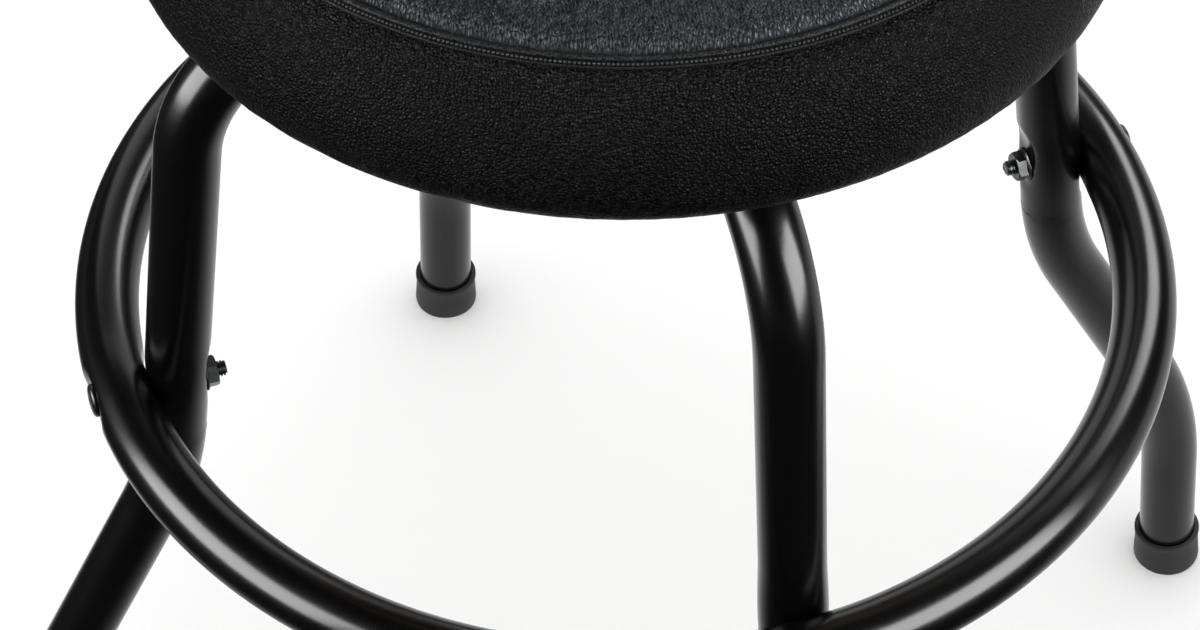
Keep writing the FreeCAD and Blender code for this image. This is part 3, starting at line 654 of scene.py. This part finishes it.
def makeLegs():
    first = bentTube("leg_1", tube)
    dentTube(first, [Vector((1, 0, 0))], True, [(meetingPlane, 1), (nutSeat, -1)], legAtRing)
    finishWith(first, "SOLIDIFY", thickness=tube["wall"], offset=-1)
    smoothShade(first)
    legs = [first] + [copyOf(first, f"leg_{k}") for k in (2, 3, 4)]
    for number, (leg, angle) in enumerate(zip(legs, legAngles), start=1):
        turned(leg, angle)
        leg.name = f"legTube_{number}"
        handIn(leg, "base", finishes["powder"], [f"leg_{number}"])


def makeRing():
    ring = newPiece(
        "footRing", bpy.ops.mesh.primitive_torus_add, major_radius=crush["ringRadius"],
        minor_radius=tube["radius"], major_segments=720, minor_segments=tube["sides"],
        location=(0, 0, crush["height"]),
    )
    outs = [Vector((math.cos(a), math.sin(a), 0)) for a in legAngles]
    dentTube(ring, outs, False, [(ringSeat, 1), (meetingPlane, -1)], crush["ringRadius"])
    outwardNormals(ring)
    smoothShade(ring)
    handIn(ring, "base", finishes["powder"], ["foot_ring"])


makeLegs()
makeRing()
print("tubes bent and crushed")

# Foot caps.
cap = {
    "inner": 0.0127,
    "wall": 0.0019,
    "flare": 0.0007,
    "height": 0.020,
    "edge": 0.0032,
    "lip": 0.0011,
    "lipProud": 0.0005,
}


def makeCaps():
    plan = cap
    outer = plan["inner"] + plan["wall"]
    base = outer + plan["flare"]
    low = -base * 0.1
    rounded = arcPoints((base - plan["edge"], low + plan["edge"]), plan["edge"], -90, 0, 8)
    lipLow = plan["height"] - plan["lip"] * 2
    profile = [(0, low)] + rounded + [
        (outer + plan["flare"] * 0.4, plan["height"] * 0.5),
        (outer, lipLow - 0.0006),
        (outer + plan["lipProud"] * 0.2, lipLow - 0.0002),
        (outer + plan["lipProud"], lipLow + 0.0003),
        (outer + plan["lipProud"], plan["height"] - 0.0005),
        (outer + plan["lipProud"] * 0.4, plan["height"]),
        (plan["inner"] + 0.0004, plan["height"]),
        (plan["inner"], plan["height"] - 0.0005),
        (plan["inner"], 0.0045),
        (0, 0.0045),
    ]
    first = lathe("cap", profile, 64)
    foot, knee = Vector(tube["corners"][-1]), Vector(tube["corners"][-2])
    lean = math.atan2(foot.x - knee.x, knee.y - foot.y)
    first.data.transform(Matrix.Translation((foot.x, 0, 0)) @ Matrix.Rotation(-lean, 4, "Y"))
    for vertex in first.data.vertices:
        if vertex.co.z < 0.0022:
            vertex.co.z = max(0.0, vertex.co.z)
    smoothShade(first, 50)
    caps = [first] + [copyOf(first, f"cap_{k}") for k in (2, 3, 4)]
    for number, (piece, angle) in enumerate(zip(caps, legAngles), start=1):
        turned(piece, angle)
        piece.name = f"footCap_{number}"
        handIn(piece, "base", finishes["rubber"], [f"foot_cap_{number}"])


makeCaps()
print("foot caps on")

# Ring bolts and nuts.
fastener = {
    "shank": 0.003175,
    "pitch": 0.00127,
    "thread": 0.00062,
    "threaded": 0.016,
    "headRadius": 0.0066,
    "headHeight": 0.0022,
    "socketAcross": 0.004,
    "socketDepth": 0.0013,
    "nutAcross": 0.0111,
    "nutHeight": 0.0052,
    "flangeRadius": 0.0072,
    "flangeHeight": 0.0012,
    "length": 0.0524,
}


def aimOut(piece, start, angle):
    # Stands a piece made along +Z at the start of a bolt's line, pointing out from the axis.
    place = Matrix.Translation((start, 0, crush["height"]))
    piece.data.transform(place @ Matrix.Rotation(math.pi / 2, 4, "Y"))
    return turned(piece, angle)


def threadedRod(name, low, high, radius, pitch, depth, segments=32):
    # One tooth's outline is swept up the axis as a helix, then cut off square and capped.
    rod = newPiece(name, bpy.ops.mesh.primitive_plane_add, size=0.001)
    openEdit(rod)
    bpy.ops.mesh.select_all(action="SELECT")
    bpy.ops.mesh.merge(type="CENTER")
    bpy.ops.transform.translate(value=(radius - depth, 0, low - 2 * pitch))
    for out, up in ((0, 0.22), (depth, 0.2), (0, 0.38), (-depth, 0.2)):
        extrudeBy((out, 0, up * pitch))
    closeEdit()
    finishWith(
        rod, "SCREW", axis="Z", screw_offset=pitch, angle=2 * math.pi, steps=segments,
        render_steps=segments, iterations=math.ceil((high - low) / pitch) + 3,
    )
    outwardNormals(rod)
    for height, side in ((low, "clear_inner"), (high, "clear_outer")):
        openEdit(rod)
        bpy.ops.mesh.select_all(action="SELECT")
        bpy.ops.mesh.bisect(plane_co=(0, 0, height), plane_no=(0, 0, 1), use_fill=True, **{side: True})
        closeEdit()
    outwardNormals(rod)
    return rod


def taperEnd(rod, end, way, reach, share):
    # Chamfers a rod's end by drawing its rim in.
    for vertex in rod.data.vertices:
        near = 1 - (vertex.co.z - end) * way / reach
        if near > 0:
            vertex.co.x *= 1 - share * near
            vertex.co.y *= 1 - share * near
    return rod


def boltHead(name, plan):
    head = newPiece(
        name, bpy.ops.mesh.primitive_cylinder_add, vertices=48, radius=plan["headRadius"],
        depth=plan["headHeight"] * 0.4, location=(0, 0, plan["headHeight"] * 0.2),
    )
    openEdit(head, "FACE")
    selectWhere(head, "faces", lambda f: f.normal.z > 0.9)
    for share, rise in ((0.96, 0.2), (0.86, 0.2), (0.68, 0.14), (0.5, 0.06)):
        bpy.ops.mesh.extrude_region_move(
            TRANSFORM_OT_translate={"value": (0, 0, plan["headHeight"] * rise)}
        )
        points = bmesh.from_edit_mesh(head.data).verts
        radius = max(math.hypot(v.co.x, v.co.y) for v in points if v.select)
        grow = plan["headRadius"] * share / radius
        bpy.ops.transform.resize(value=(grow, grow, 1))
    closeEdit()
    socket = newPiece(
        "socket", bpy.ops.mesh.primitive_cylinder_add, vertices=6,
        radius=plan["socketAcross"] / math.sqrt(3), depth=plan["socketDepth"] * 2,
        location=(0, 0, plan["headHeight"]),
    )
    cutWith(head, socket, "DIFFERENCE")
    finishWith(
        head, "BEVEL", width=0.00018, segments=2, limit_method="ANGLE", angle_limit=math.radians(35)
    )
    return head


def flangeNut(name, plan):
    corner = plan["nutAcross"] / math.sqrt(3)
    body = newPiece(
        name, bpy.ops.mesh.primitive_cylinder_add, vertices=6, radius=corner,
        depth=plan["nutHeight"] - plan["flangeHeight"] * 0.5,
        location=(0, 0, (plan["nutHeight"] - plan["flangeHeight"] * 0.5) / 2),
    )
    dome = lathe("dome", [
        (0, -0.0004), (plan["nutAcross"] * 0.47, -0.0004), (corner * 1.02, 0.0009),
        (corner * 1.02, plan["nutHeight"] * 1.5), (0, plan["nutHeight"] * 1.5),
    ], 48)
    cutWith(body, dome, "INTERSECT")
    bore = newPiece(
        "bore", bpy.ops.mesh.primitive_cylinder_add, vertices=32, radius=plan["shank"] + 0.00005,
        depth=plan["nutHeight"] * 3,
    )
    cutWith(body, bore, "DIFFERENCE")
    top = plan["nutHeight"]
    low = top - plan["flangeHeight"]
    flange = lathe("flange", [
        (plan["shank"] + 0.00005, low - 0.0004), (plan["flangeRadius"] * 0.8, low - 0.0002),
        (plan["flangeRadius"] * 0.96, low + 0.0004), (plan["flangeRadius"], low + 0.0007),
        (plan["flangeRadius"], top - 0.0001), (plan["flangeRadius"] - 0.0002, top),
        (plan["shank"] + 0.00005, top), (plan["shank"] + 0.00005, low - 0.0004),
    ], 48)
    return joined(name, [body, flange])


def makeRingBolts():
    plan = fastener
    start = ringSeat - plan["length"]
    bolts, nuts = [], []
    for angle in legAngles:
        bolts.append(aimOut(boltHead("head", plan), ringSeat, angle))
        rod = threadedRod("rod", 0.0, plan["threaded"], plan["shank"], plan["pitch"], plan["thread"])
        bolts.append(aimOut(taperEnd(rod, 0.0, 1, plan["pitch"] * 0.7, 0.16), start, angle))
        shank = lathe("shank", [
            (0, plan["threaded"] - 0.0002), (plan["shank"] - 0.0002, plan["threaded"] - 0.0002),
            (plan["shank"], plan["threaded"] + 0.0002), (plan["shank"], plan["length"] - 0.0002),
            (0, plan["length"] - 0.0002),
        ], 32)
        bolts.append(aimOut(shank, start, angle))
        nuts.append(aimOut(flangeNut("nut", plan), nutSeat - plan["nutHeight"], angle))
    heads = joined("ringBolts", bolts)
    smoothShade(heads, 32)
    handIn(heads, "base", finishes["blackZinc"], ["ring_bolts"])
    rings = joined("ringNuts", nuts)
    smoothShade(rings, 30)
    handIn(rings, "base", finishes["blackZinc"], ["ring_nuts"])


makeRingBolts()
print("ring bolted on")

# Seat. The outline is worked out from the same few values as the frame's.
seat = {
    "radius": 0.1826,
    "underside": 0.4938,
    "rimCurve": 0.0116,
    "sideCurve": 0.0603,
    "sideRise": 0.0444,
    "shoulderCurve": 0.050,
    "shoulderEnd": 84,
    "hemRadius": 0.148,
    "cloth": 0.0012,
    "voxel": 0.0045,
    "pressure": 4,
    "capTop": 0.004,
    "capSide": 0.0008,
    "seamGroove": 0.0011,
    "pucker": 0.0007,
    "puckerReach": 0.011,
    "pleat": 0.0009,
    "pleats": 32,
}
seam = {
    "width": 0.0046,
    "proud": 0.0016,
    "root": 0.0014,
    "segments": 360,
    "stitches": 656,
    "stitchLong": 0.00068,
    "stitchWide": 0.00058,
    "stitchPlace": 0.0017,
}
lean = math.asin(seat["sideRise"] / seat["sideCurve"])
rimHeight = seat["underside"] + seat["rimCurve"]
sideCentre = (seat["radius"] - seat["sideCurve"], rimHeight)
seamOut = (math.cos(lean), math.sin(lean))
seamUp = (-math.sin(lean), math.cos(lean))
seamLow = tuple(c + seat["sideCurve"] * o for c, o in zip(sideCentre, seamOut))
seamHigh = tuple(c + seam["width"] * u for c, u in zip(seamLow, seamUp))
seamMiddle = tuple((a + b) / 2 for a, b in zip(seamLow, seamHigh))


def seatOutline(plan):
    # The upholstery's outside, from the middle of the underside round to the crown.
    rim = arcPoints((plan["radius"] - plan["rimCurve"], rimHeight), plan["rimCurve"], -90, 0, 10)
    side = arcPoints(sideCentre, plan["sideCurve"], 0, math.degrees(lean), 16)
    centre = tuple(h - plan["shoulderCurve"] * o for h, o in zip(seamHigh, seamOut))
    shoulder = arcPoints(centre, plan["shoulderCurve"], math.degrees(lean), plan["shoulderEnd"], 12)
    edge = shoulder[-1]
    end = math.radians(plan["shoulderEnd"])
    crown = edge[0] / math.cos(end)
    top = edge[1] + crown * (1 - math.sin(end))
    dome = []
    for k in range(1, 12):
        radius = edge[0] * (1 - k / 12)
        dome.append((radius, top - crown + math.sqrt(crown * crown - radius * radius)))
    under = [(0, plan["underside"]), (0.05, plan["underside"]), (plan["hemRadius"], plan["underside"])]
    return under + rim + side[1:] + shoulder + dome + [(0, top)]


def puffUp(piece, plan):
    # Blows the cover up a little inside its stitching, as the foam does, and keeps the seam down.
    rest = [v.co.copy() for v in piece.data.vertices]
    held = piece.vertex_groups.new(name="held")
    for index, co in enumerate(rest):
        out = math.hypot(co.x, co.y)
        nearSeam = math.hypot(out - seamMiddle[0], co.z - seamMiddle[1])
        if nearSeam < 0.006 or co.z < rimHeight + 0.003:
            held.add([index], 1.0, "REPLACE")
    pickOnly(piece)
    cloth = piece.modifiers.new("Cloth", "CLOTH")
    cloth.settings.use_pressure = True
    cloth.settings.uniform_pressure_force = plan["pressure"]
    cloth.settings.vertex_group_mass = "held"
    cloth.settings.effector_weights.gravity = 0
    cloth.settings.quality = 6
    cloth.settings.tension_stiffness = 12
    cloth.settings.bending_stiffness = 1.5
    cloth.point_cache.frame_start, cloth.point_cache.frame_end = 1, 20
    for step in range(1, 21):
        bpy.context.scene.frame_set(step)
    bpy.ops.object.modifier_apply(modifier=cloth.name)
    bpy.context.scene.frame_set(1)
    for vertex, before in zip(piece.data.vertices, rest):
        shift = vertex.co - before
        limit = plan["capTop"] if before.z > seamHigh[1] else plan["capSide"]
        if shift.length > limit:
            vertex.co = before + shift.normalized() * limit
    piece.vertex_groups.clear()


def pullIn(piece, plan):
    # Stitching pulls the cover down beside the seam and gathers it into small puckers.
    for vertex in piece.data.vertices:
        co = vertex.co
        out = math.hypot(co.x, co.y)
        if co.z < rimHeight or out < 0.1:
            continue
        along = (out - seamLow[0]) * seamUp[0] + (co.z - seamLow[1]) * seamUp[1]
        below, above = max(0.0, -along), max(0.0, along - seam["width"])
        gap = below + above
        if gap > 0.02:
            continue
        sink = plan["seamGroove"] * math.exp(-((gap / 0.0035) ** 2))
        turnWay = Vector((co.x, co.y, 0)).normalized()
        gather = noise.noise(turnWay * 24) + 0.5 * noise.noise(turnWay * 61)
        fade = max(0.0, 1 - gap / plan["puckerReach"]) ** 2
        strength = 0.6 + 0.4 * noise.noise(turnWay * 3)
        sink += plan["pucker"] * gather * fade * strength * (1 if below > 0 else 0.6)
        push = Vector((turnWay.x * seamOut[0], turnWay.y * seamOut[0], seamOut[1]))
        vertex.co = co - push * sink


def pleatHem(piece, plan):
    # Under the board the cover is gathered between the staples.
    for vertex in piece.data.vertices:
        co = vertex.co
        out = math.hypot(co.x, co.y)
        if co.z > plan["underside"] + 0.004 or out > 0.174:
            continue
        angle = math.atan2(co.y, co.x)
        wave = 0.5 - 0.5 * math.cos(plan["pleats"] * angle)
        fade = min(1.0, (0.176 - out) / 0.014)
        rough = 0.6 + 0.6 * noise.noise(Vector((co.x, co.y, 0)) * 45)
        co.z -= plan["pleat"] * wave ** 3 * fade * rough


def splitAtSeam(cover):
    # The top panel and the band meet in the level circle in the middle of the seam.
    top, band = copyOf(cover, "seatTopPanel"), copyOf(cover, "seatBandPanel")
    for piece, clear in ((top, "clear_inner"), (band, "clear_outer")):
        openEdit(piece)
        bpy.ops.mesh.select_all(action="SELECT")
        bpy.ops.mesh.bisect(
            plane_co=(0, 0, seamMiddle[1]), plane_no=(0, 0, 1), use_fill=False, **{clear: True}
        )
        closeEdit()
    openEdit(band)
    selectWhere(band, "verts", lambda v: v.co.z < seat["underside"] + 0.002
                and math.hypot(v.co.x, v.co.y) < seat["hemRadius"])
    bpy.ops.mesh.delete(type="VERT")
    closeEdit()
    bpy.data.objects.remove(cover)
    return top, band


def makeSeatCover():
    cover = lathe("seatCover", seatOutline(seat), 128)
    finishWith(cover, "REMESH", mode="VOXEL", voxel_size=seat["voxel"], use_smooth_shade=True)
    puffUp(cover, seat)
    finishWith(cover, "SUBSURF", render_levels=1)
    pullIn(cover, seat)
    pleatHem(cover, seat)
    top, band = splitAtSeam(cover)
    for piece in (top, band):
        finishWith(piece, "SOLIDIFY", thickness=seat["cloth"], offset=-1)
        smoothShade(piece, 60)
    handIn(top, "seat", finishes["vinylTop"], ["seat_top", "seat_foam"])
    handIn(band, "seat", finishes["vinylBand"], ["seat_band"])


def atSeam(along, out):
    return (
        seamLow[0] + seamUp[0] * along + seamOut[0] * out,
        seamLow[1] + seamUp[1] * along + seamOut[1] * out,
    )


def makeSeam():
    wide, proud, root = seam["width"], seam["proud"], -seam["root"]
    section = [
        (-0.0001, root), (-0.0002, 0.0002), (-0.00005, 0.0007), (0.0003, 0.00092), (0.0008, 0.0009),
        (0.0009, 0.00062), (0.0011, 0.0004), (0.0023, 0.0004), (0.0025, 0.0008),
        (0.0027, proud * 0.86), (0.0031, proud), (wide * 0.78, proud * 1.02), (wide * 0.88, proud * 0.9),
        (wide * 0.95, proud * 0.6), (wide, proud * 0.1), (wide, root), (-0.0001, root),
    ]
    rib = lathe("seatSeamRib", [atSeam(a, o) for a, o in section], seam["segments"])
    for vertex in rib.data.vertices:
        turnWay = Vector((vertex.co.x, vertex.co.y, 0)).normalized()
        waver = 1 + 0.0007 * noise.noise(turnWay * 9)
        vertex.co.x *= waver
        vertex.co.y *= waver
    smoothShade(rib, 60)
    handIn(rib, "seat", finishes["vinylSeam"], ["seat_seam"])

    place = atSeam(seam["stitchPlace"], 0.0007)
    stitch = newPiece(
        "seatStitches", bpy.ops.mesh.primitive_uv_sphere_add, segments=8, ring_count=5,
        radius=seam["stitchWide"], rotation=(math.pi / 2, 0, 0),
    )
    openEdit(stitch)
    bpy.ops.mesh.select_all(action="SELECT")
    bpy.ops.transform.resize(value=(1, seam["stitchLong"] / seam["stitchWide"], 1))
    selectWhere(stitch, "verts", lambda v: abs(v.co.y) > seam["stitchLong"] * 0.75)
    bpy.ops.transform.translate(value=(-seamOut[0] * 0.00022, 0, -seamOut[1] * 0.00022))
    closeEdit()
    stitch.data.transform(Matrix.Translation((place[0], 0, place[1])))
    stepper = bpy.data.objects.new("stitchStep", None)
    bpy.context.collection.objects.link(stepper)
    stepper.rotation_euler.z = 2 * math.pi / seam["stitches"]
    bpy.context.view_layer.update()
    finishWith(
        stitch, "ARRAY", count=seam["stitches"], use_relative_offset=False, use_object_offset=True,
        offset_object=stepper,
    )
    bpy.data.objects.remove(stepper)
    smoothShade(stitch, 80)
    handIn(stitch, "seat", finishes["thread"])


makeSeatCover()
makeSeam()
print("seat covered and stitched")

# Spindle: a coarse screw with its pivot pin on top.
spindle = {
    "radius": 0.0126,
    "pitch": 0.00508,
    "thread": 0.0017,
    "low": 0.3398,
    "high": 0.4755,
    "race": 0.4850,
    "pin": 0.0080,
    "grooveRadius": 0.0072,
    "grooveLow": 0.4966,
    "grooveHigh": 0.4979,
    "pinTop": 0.4996,
}


def makeSpindle():
    plan = spindle
    screw = threadedRod(
        "screw", plan["low"], plan["high"], plan["radius"], plan["pitch"], plan["thread"], 48
    )
    taperEnd(screw, plan["low"], 1, 0.0022, 0.12)
    neck = lathe("neck", [
        (0, plan["high"] - 0.002), (plan["radius"] - plan["thread"], plan["high"] - 0.002),
        (plan["radius"] - plan["thread"], plan["high"] + 0.0012), (plan["radius"], plan["high"] + 0.0022),
        (plan["radius"], plan["race"]), (plan["pin"], plan["race"]),
        (plan["pin"], plan["grooveLow"]), (plan["grooveRadius"], plan["grooveLow"]),
        (plan["grooveRadius"], plan["grooveHigh"]), (plan["pin"], plan["grooveHigh"]),
        (plan["pin"], plan["pinTop"] - 0.0006), (plan["pin"] - 0.0006, plan["pinTop"]),
        (0, plan["pinTop"]),
    ], 64)
    whole = joined("spindleScrew", [screw, neck])
    smoothShade(whole, 35)
    handIn(whole, "spindle", finishes["brightZinc"], ["spindle"])


makeSpindle()
print("spindle threaded")

# Carried-over pieces get finishes of their own.
dressed = {
    "hub_tube": "powder", "hub_top_plate": "powder", "hub_bottom_plate": "powder",
    "hub_bolts": "blackZinc", "hub_nuts": "blackZinc", "stop_screw": "blackZinc",
    "stop_washer": "blackZinc", "seat_screws": "blackZinc",
    "lower_race": "brightZinc", "swivel_plate": "brightZinc", "tee_nuts": "brightZinc",
    "retaining_ring": "brightZinc", "bearing_balls": "ballSteel", "spindle_nut": "bronze",
    "pivot_bush": "bronze", "bearing_cage": "nylon", "seat_board": "ply",
    "seat_staples": "staple",
}
for node, finish in dressed.items():
    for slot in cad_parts[node].material_slots:
        slot.material = finishes[finish]
print("frame dressed")
